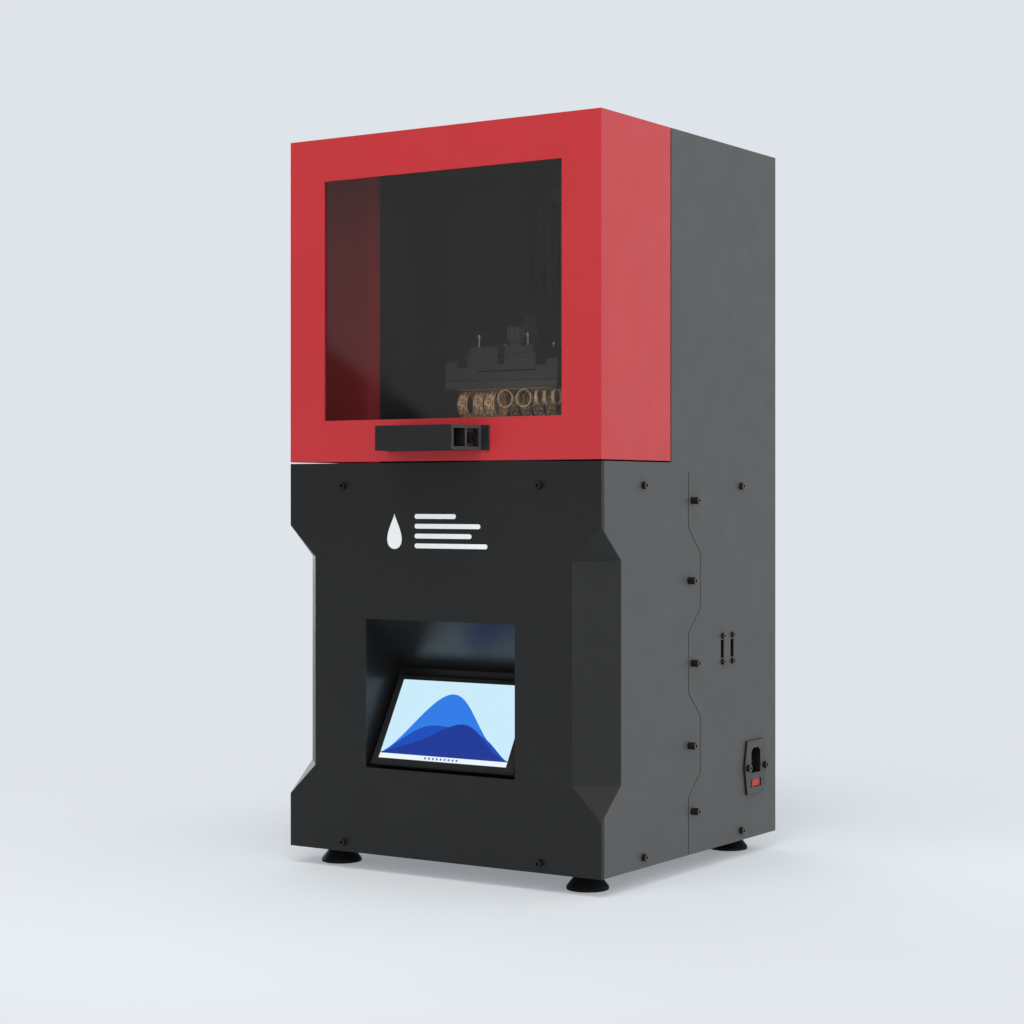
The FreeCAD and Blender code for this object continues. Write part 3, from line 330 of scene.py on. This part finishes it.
# width of the rounded edges in mm, where it isn't the usual one
USUAL_EDGE = 0.2
EDGES = {
    "hood_shell": 0.7, "hood_handle": 0.6, "rubber_feet": 0.9, "front_panel": 0.5, "screen_recess": 0.4,
    "build_plate": 1.2, "platform_block": 0.6, "platform_knob": 0.8, "z_arm": 0.5, "carriage_plate": 0.5,
    "vat_frame": 1.0, "vat_knob_left": 0.8, "vat_knob_right": 0.8, "power_inlet": 0.5,
    "panel_screws": 0.35, "seam_screws": 0.35, "port_screws": 0.25,
    "side_front_left": 0.25, "side_front_right": 0.25, "side_rear_left": 0.25, "side_rear_right": 0.25,
}


def dress_frame():
    """Give every CAD node its finish, and round its edges."""
    for part in frame["record"]["subparts"]:
        obj = NODES[part["node"]]
        obj.data.materials.clear()
        obj.data.materials.append(VARIANTS.get(part["node"]) or FINISHES[part["material_slot"]])
        normals = obj.data.attributes.get("custom_normal")
        if normals:
            obj.data.attributes.remove(normals)
        weld = obj.modifiers.new("weld", "WELD")
        weld.merge_threshold = 0.00001
        flat = obj.modifiers.new("flat", "DECIMATE")
        flat.decimate_type = "DISSOLVE"
        flat.angle_limit = math.radians(0.5)
        bevel = obj.modifiers.new("edges", "BEVEL")
        bevel.width = EDGES.get(part["node"], USUAL_EDGE) * MM
        bevel.segments = 2
        bevel.limit_method = "ANGLE"
        bevel.angle_limit = math.radians(35)
        bevel.harden_normals = True
        bevel.use_clamp_overlap = True


# ---------------------------------------------------------------- building pieces


def piece(name, bm, finish, body):
    """A finished mesh object that rides on a CAD body."""
    mesh = bpy.data.meshes.new(name)
    bmesh.ops.recalc_face_normals(bm, faces=bm.faces)
    bm.to_mesh(mesh)
    bm.free()
    obj = bpy.data.objects.new(name, mesh)
    bpy.context.scene.collection.objects.link(obj)
    material = FINISHES[finish] if isinstance(finish, str) else finish
    mesh.materials.append(material)
    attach(obj, body)
    return obj


def slab(bm, outline, corner, across, up, thick):
    """A thin plate from a flat outline of (across, up) points, raised by thick off its plane."""
    normal = across.cross(up).normalized()
    base = [corner + across * u + up * v for u, v in outline]
    low = [bm.verts.new(point) for point in base]
    high = [bm.verts.new(point + normal * thick) for point in base]
    bm.faces.new(low)
    bm.faces.new(high)
    count = len(outline)
    for i in range(count):
        j = (i + 1) % count
        bm.faces.new((low[i], low[j], high[j], high[i]))


def rounded(width, height, radius, steps=6):
    """Outline of a rounded rectangle from its lower left corner."""
    points = []
    for cx, cy, start in ((width - radius, radius, -90), (width - radius, height - radius, 0),
                          (radius, height - radius, 90), (radius, radius, 180)):
        for i in range(steps + 1):
            turn = math.radians(start + 90 * i / steps)
            points.append((cx + radius * math.cos(turn), cy + radius * math.sin(turn)))
    return points


MARK_HEIGHT = 297
DROP_LEFT, LINES_LEFT = -52, -28
DROP_STEPS = 40
LINE_LENGTHS = (84, 66, 76, 48)
LINE_WIDTH, LINE_PITCH = 4.6, 9.4
PRINT_THICK = 0.15


def make_mark():
    """A plain white mark on the front: a drop beside a stack of layer lines."""
    low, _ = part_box("front_panel")
    base_z = low.z + MARK_HEIGHT * MM
    across = Vector((1, 0, 0))
    up = Vector((0, 0, 1))
    bm = bmesh.new()
    drop = []
    for i in range(DROP_STEPS):
        turn = 2 * math.pi * i / DROP_STEPS
        pull = math.sin(turn / 2) ** 1.6
        drop.append((12.5 * math.sin(turn) * pull * MM, (17 + 17 * math.cos(turn)) * MM))
    drop.reverse()
    face = low.y - 0.02 * MM
    slab(bm, drop, Vector((DROP_LEFT * MM, face, base_z)), across, up, PRINT_THICK * MM)
    for row, length in enumerate(LINE_LENGTHS):
        bar = rounded(length * MM, LINE_WIDTH * MM, 2.2 * MM)
        corner = Vector((LINES_LEFT * MM, face, base_z + (1 + LINE_PITCH * row) * MM))
        slab(bm, bar, corner, across, up, PRINT_THICK * MM)
    white = powder_coat("white_print", (0.97, 0.97, 0.97), 0.5, 0.5, 0.00002, 0.0)
    piece("front_mark", bm, white, "machine")


# the castings' materials by index: the plain resin, a darker copy painted as shade, and a lighter copy painted as
# a highlight on the rims
LIT, SHADED, HIGHLIT_RIMS = 0, 1, 2
# how far a band's skin falls and its bore widens at the rims, and the relief depth that counts as pierced, in mm
COMFORT_FALL, COMFORT_FLARE = 0.25, 0.12
PIERCED = 0.5


def swept_ring(bm, centre, axis, bore, thick, width, relief=None, steps=72, lanes=6, shade=LIT):
    """A ring about an axis whose outer skin can carry a relief, given as depth(turn, share of half width)."""
    front, up = Vector((0, -1, 0)), Vector((0, 0, 1))
    if abs(axis.y) > 0.5:
        front = Vector((1, 0, 0))
    rows = []
    for i in range(steps):
        turn = 2 * math.pi * i / steps
        ray = front * math.cos(turn) + up * math.sin(turn)
        row = []
        for lane in range(lanes + 1):
            share = 2 * lane / lanes - 1
            depth = relief(turn, share) if relief else 0.0
            # a comfort-fit section: the outer skin falls off a little toward both rims
            skin = bore + thick - COMFORT_FALL * share ** 4 - depth
            row.append(bm.verts.new(centre + (ray * skin + axis * share * width / 2) * MM))
        for share in (1, 0, -1):
            inner = bore + (COMFORT_FLARE if share else 0.0)
            row.append(bm.verts.new(centre + (ray * inner + axis * share * width / 2) * MM))
        rows.append(row)
    for i, row in enumerate(rows):
        following = rows[(i + 1) % steps]
        for j, vertex in enumerate(row):
            k = (j + 1) % len(row)
            face = bm.faces.new((vertex, row[k], following[k], following[j]))
            face.material_index = shade
            # skin faces sunk past the pierced depth take the darker resin: painted shade in the openings
            if relief and j < lanes:
                turn = 2 * math.pi * (i + 0.5) / steps
                pierced = relief(turn, 2 * (j + 0.5) / lanes - 1) > PIERCED
                face.material_index = SHADED if pierced else shade


# the seal's middle and half length in degrees round the ring, and its half width as a share of the band's
SEAL_MIDDLE, SEAL_LENGTH, SEAL_WIDTH = 12, 27, 0.72


def signet(turn, share):
    """Relief of a broad ring: an oval seal near the front, and pierced scrolls round the rest."""
    around = math.degrees(math.atan2(math.sin(turn), math.cos(turn))) - SEAL_MIDDLE
    oval = math.hypot(around / SEAL_LENGTH, share / SEAL_WIDTH)
    if oval < 1.0:
        petal = 0.5 + 0.5 * math.cos(6 * math.atan2(share / SEAL_WIDTH, around / SEAL_LENGTH))
        if oval > 0.78:
            return -0.25
        return 0.55 if 0.2 < oval < 0.35 + 0.3 * petal else 0.1
    if abs(share) > 0.86:
        return -0.1
    scroll = math.sin(math.radians(around * 9)) * math.sin(share * 6.5) + 0.5 * math.cos(math.radians(around * 18))
    return 0.95 if scroll > 0.25 else 0.0


# the rings' places in the cabinet's own frame, in mm: across by columns, back by rows, and up
RAFT_CORNER, RAFT_BOTTOM, RAFT_TOP = (-54, -68), 453.8, 455
RAFT_WIDTH, RAFT_LENGTH = 115, 63
BROAD_FRONT, BROAD_FRONT_Y = (-48, -29, -15.5), -53
BROAD_BACK, BROAD_BACK_Y = (-24, -9, 6, 21, 36), -20
FACING_X, FACING_Y = (1.5, 23.5), (-62, -48)
EDGE_ON, EDGE_ON_Y = (38, 48, 58), -56


def make_rings():
    """The printed rings: sealed broad bands in front and behind, facing bands between, on one raft."""
    low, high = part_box("printed_rings")
    origin = Vector((low.x - RAFT_CORNER[0] * MM, low.y - RAFT_CORNER[1] * MM, high.z - RAFT_TOP * MM))
    across, back = Vector((1, 0, 0)), Vector((0, 1, 0))
    bm = bmesh.new()
    raft = rounded(RAFT_WIDTH * MM, RAFT_LENGTH * MM, 1.5 * MM, 4)
    raft_corner = origin + Vector((*RAFT_CORNER, RAFT_BOTTOM)) * MM
    slab(bm, raft, raft_corner, across, back, (RAFT_TOP - RAFT_BOTTOM) * MM)
    # the raft takes the darker resin: painted shade
    for face in bm.faces:
        face.material_index = SHADED
    for x in BROAD_FRONT:
        swept_ring(bm, origin + Vector((x, BROAD_FRONT_Y, 440)) * MM, across, 12.8, 1.7, 11, signet, 180, 18)
    for x in BROAD_BACK:
        swept_ring(bm, origin + Vector((x, BROAD_BACK_Y, 440)) * MM, across, 12.8, 1.7, 11, signet, 120, 10)
    for x in FACING_X:
        # the front facing ring of each pair takes the painted highlight, the one behind the painted shade
        for y, shade in zip(FACING_Y, (HIGHLIT_RIMS, SHADED)):
            swept_ring(bm, origin + Vector((x, y, 445)) * MM, back, 7.9, 1.3, 4, shade=shade)
            stem = rounded(1.6 * MM, 1.6 * MM, 0.7 * MM, 3)
            slab(bm, stem, origin + Vector((x - 0.8, y - 0.8, 453.4)) * MM, across, back, 0.8 * MM)
    for x in EDGE_ON:
        swept_ring(bm, origin + Vector((x, EDGE_ON_Y, 446)) * MM, across, 7.5, 1.3, 3.5, shade=HIGHLIT_RIMS)
    rings = piece("ring_castings", bm, "cast_resin", "platform")
    # the darker and lighter resin copies are painted shade and a painted highlight
    rings.data.materials.append(cast_resin("resin_in_shade", (0.34, 0.19, 0.09)))
    rings.data.materials.append(cast_resin("resin_rims_painted_highlight", (0.95, 0.63, 0.38)))
    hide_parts("printed_rings")


DISPLAY_LEAN = math.radians(30)
GLASS_THICK = 1.2
LIT_WIDTH, LIT_HEIGHT = 148, 84
BAR_SHARE = 0.06
LAYER = 0.03
DOTS, DOT_SIZE, DOT_PITCH = 9, 2.4, 4.6
CREST_STEPS = 40
# each hill's height and swing as shares of the picture, its waves and phase, and its low and high colour
HILLS = (
    (0.74, 0.16, 1.6, 0.2, (0.03, 0.20, 0.80), (0.10, 0.42, 0.95)),
    (0.56, 0.15, 1.9, 1.5, (0.012, 0.075, 0.50), (0.03, 0.20, 0.80)),
    (0.40, 0.12, 2.3, 3.0, (0.013, 0.042, 0.31), (0.024, 0.10, 0.56)),
)


def make_display():
    """The lit picture on the display: soft hills of blue under a pale sky, with a bar of plain dots."""
    low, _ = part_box("display_glass")
    tilt = DISPLAY_LEAN
    up = Vector((0, math.sin(tilt), math.cos(tilt)))
    across = Vector((1, 0, 0))
    out = across.cross(up).normalized()
    width, height = LIT_WIDTH * MM, LIT_HEIGHT * MM
    # the glass's lower front edge is the lowest front corner of its leaning slab
    edge_z = low.z + GLASS_THICK * MM * math.sin(tilt)
    corner = Vector((-width / 2, low.y, edge_z)) + up * 5.0 * MM + out * 0.05 * MM
    bottom = corner.z
    top = corner.z + height * math.cos(tilt)
    bm = bmesh.new()
    slab(bm, [(0, 0), (width, 0), (width, height), (0, height)], corner, across, up, 0.08 * MM)
    sky = glow("display_sky", (0.60, 0.84, 0.97), (0.52, 0.81, 0.97), bottom, top)
    piece("display_sky", bm, sky, "machine")
    for index, (level, swing, waves, phase, dark, light) in enumerate(HILLS):
        bm = bmesh.new()
        crest = []
        for i in range(CREST_STEPS + 1):
            share = i / CREST_STEPS
            hump = math.sin(math.pi * share) ** 1.4
            ripple = 0.5 + 0.5 * math.sin(waves * math.pi * share + phase)
            crest.append((share * width, (0.07 + hump * level * (0.55 + 0.45 * ripple) * (1 + swing)) * height))
        bar = BAR_SHARE * height
        outline = [(0, bar), (width, bar)] + list(reversed(crest))
        shift = out * (0.10 + 0.04 * index) * MM
        slab(bm, outline, corner + shift, across, up, LAYER * MM)
        name = f"display_hill_{index + 1}"
        piece(name, bm, glow(name, dark, light, bottom, top), "machine")
    bm = bmesh.new()
    outline = [(0, 0), (width, 0), (width, BAR_SHARE * height), (0, BAR_SHARE * height)]
    slab(bm, outline, corner + out * 0.2 * MM, across, up, LAYER * MM)
    piece("display_bar", bm, glow("display_bar", (0.85, 0.92, 0.97), (0.92, 0.96, 1.0), bottom, top), "machine")
    bm = bmesh.new()
    first = corner + out * 0.24 * MM + across * width * 0.36 + up * 1.3 * MM
    for i in range(DOTS):
        dot = rounded(DOT_SIZE * MM, DOT_SIZE * MM, 1.1 * MM, 3)
        slab(bm, dot, first + across * i * DOT_PITCH * MM, across, up, LAYER * MM)
    piece("display_dots", bm, glow("display_dots", (0.10, 0.20, 0.45), (0.10, 0.20, 0.45), bottom, top), "machine")


BACKDROP = (0.735, 0.776, 0.818)
BRIGHT_SIDE = (0.93, 0.36, -0.15)
BACK_LEFT = (-0.773, 0.634, 0.0)
# each soft light of the surroundings: its direction, where it starts and ends by the cosine, and its strengths
LOBES = ((BRIGHT_SIDE, -0.7, 0.8, 0.075, 1.08), (BACK_LEFT, 0.6, 0.97, 0.0, 3.0))


def make_world():
    """A plain pale background, lit from a studio that is bright on the right and behind on the left."""
    scene = bpy.context.scene
    world = bpy.data.worlds.new("studio")
    scene.world = world
    world.use_nodes = True
    tree = world.node_tree
    tree.nodes.clear()
    link = tree.links.new
    out = tree.nodes.new("ShaderNodeOutputWorld")
    seen = tree.nodes.new("ShaderNodeBackground")
    seen.inputs["Color"].default_value = (*BACKDROP, 1)
    light = tree.nodes.new("ShaderNodeBackground")
    light.inputs["Color"].default_value = (0.95, 0.98, 1.0, 1)
    coords = tree.nodes.new("ShaderNodeTexCoord")
    total = tree.nodes.new("ShaderNodeMath")
    for index, (side, start, end, dim, bright) in enumerate(LOBES):
        toward = tree.nodes.new("ShaderNodeVectorMath")
        toward.operation = "DOT_PRODUCT"
        toward.inputs[1].default_value = side
        link(coords.outputs["Generated"], toward.inputs[0])
        level = tree.nodes.new("ShaderNodeMapRange")
        level.interpolation_type = "SMOOTHSTEP"
        for socket, value in (("From Min", start), ("From Max", end), ("To Min", dim), ("To Max", bright)):
            level.inputs[socket].default_value = value
        link(toward.outputs["Value"], level.inputs["Value"])
        link(level.outputs[0], total.inputs[index])
    link(total.outputs[0], light.inputs["Strength"])
    path = tree.nodes.new("ShaderNodeLightPath")
    pick = tree.nodes.new("ShaderNodeMixShader")
    link(path.outputs["Is Camera Ray"], pick.inputs[0])
    link(light.outputs[0], pick.inputs[1])
    link(seen.outputs[0], pick.inputs[2])
    link(pick.outputs[0], out.inputs["Surface"])


FLOOR_RADIUS = 6.0
FADE_START, FADE_END = 0.45, 1.1
# the share of the floor that glows evenly, so that the shadow stays as soft and pale as on a lit table
EVEN_SHARE = 0.25


def make_floor():
    """A round pale floor that takes a soft shadow and fades into the background."""
    bm = bmesh.new()
    bmesh.ops.create_circle(bm, cap_ends=True, cap_tris=False, radius=FLOOR_RADIUS, segments=96)
    mesh = bpy.data.meshes.new("floor")
    bm.to_mesh(mesh)
    bm.free()
    floor = bpy.data.objects.new("floor", mesh)
    bpy.context.scene.collection.objects.link(floor)
    graph = Graph("floor")
    distance = graph.add("ShaderNodeVectorMath", operation="LENGTH")
    graph.feed(distance.inputs[0], graph.coords)
    far = graph.ramp(distance.outputs["Value"], 0.0, 1.0, FADE_START, FADE_END)
    far.node.interpolation_type = "SMOOTHSTEP"
    fade = graph.add("ShaderNodeMath", operation="MULTIPLY")
    graph.feed(fade.inputs[0], far)
    graph.feed(fade.inputs[1], graph.add("ShaderNodeLightPath").outputs["Is Camera Ray"])
    tone = graph.mix(graph.noise(3.0, 3.0), (0.77, 0.80, 0.825), (0.80, 0.83, 0.855))
    matt = graph.add("ShaderNodeBsdfDiffuse", Color=tone)
    even = graph.add("ShaderNodeEmission", Color=(*BACKDROP, 1), Strength=1.08)
    clear = graph.add("ShaderNodeBsdfTransparent", Color=(1, 1, 1, 1))
    surface = graph.blend(EVEN_SHARE, matt, even)
    mesh.materials.append(graph.finish(graph.blend(fade.outputs[0], surface, clear)))


def make_lamp(name, place, aim, size, power, roll=0.0):
    """A square soft lamp at a place, turned to a point, rolled about its own axis and never seen itself."""
    lamp = bpy.data.lights.new(name, "AREA")
    lamp.size = size
    lamp.energy = power
    obj = bpy.data.objects.new(name, lamp)
    obj.location = place
    turn = (Vector(aim) - Vector(place)).to_track_quat("-Z", "Y")
    obj.rotation_mode = "QUATERNION"
    obj.rotation_quaternion = turn @ Quaternion((0, 0, 1), math.radians(roll))
    obj.visible_camera = False
    bpy.context.scene.collection.objects.link(obj)


# the camera, placed from the middle of the front panel's underside
LENS, SENSOR, SHIFT_Y = 76.45, 36, -0.01487
CAMERA_X, CAMERA_Y, CAMERA_Z = 1.194, -1.8672, 0.3473
CAMERA_TURN = 33.289
BODY_HALF_DEPTH = 0.176


def make_camera():
    """The camera, level, looking at the machine's front and right side."""
    low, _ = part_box("front_panel")
    camera = bpy.data.cameras.new("camera")
    camera.lens = LENS
    camera.sensor_width = SENSOR
    camera.shift_y = SHIFT_Y
    camera.clip_end = 50
    obj = bpy.data.objects.new("camera", camera)
    obj.location = (CAMERA_X, CAMERA_Y + low.y + BODY_HALF_DEPTH, CAMERA_Z + low.z)
    obj.rotation_euler = (math.radians(90), 0, math.radians(CAMERA_TURN))
    bpy.context.scene.collection.objects.link(obj)
    bpy.context.scene.camera = obj


def make_stage():
    """Background, floor, soft lamps and the camera."""
    bpy.context.scene.view_settings.view_transform = "Standard"
    make_world()
    make_floor()
    make_camera()
    centre = (0, 0, 0.36)
    make_lamp("key", (1.9, -3.6, 1.7), centre, 2.4, 34)
    make_lamp("overhead", (0.2, -1.3, 3.0), centre, 1.8, 43)
    # a small light over the vat, behind the strip below the window, that reaches the print
    print_low, print_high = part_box("printed_rings")
    print_middle = (print_low + print_high) / 2
    make_lamp("vat_light", print_middle + Vector((0.01, -0.092, -0.02)), print_middle, 0.09, 0.025)
    # a dim panel that only shows as a soft haze in the hood's window
    low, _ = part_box("front_panel")
    panel_x, panel_z = -1.504, 1.274
    make_lamp("panel", (panel_x, low.y - 2.425, panel_z), (panel_x, low.y, panel_z), 1.5, 3.5, -31.6)


dress_frame()
make_mark()
make_rings()
make_display()
make_stage()
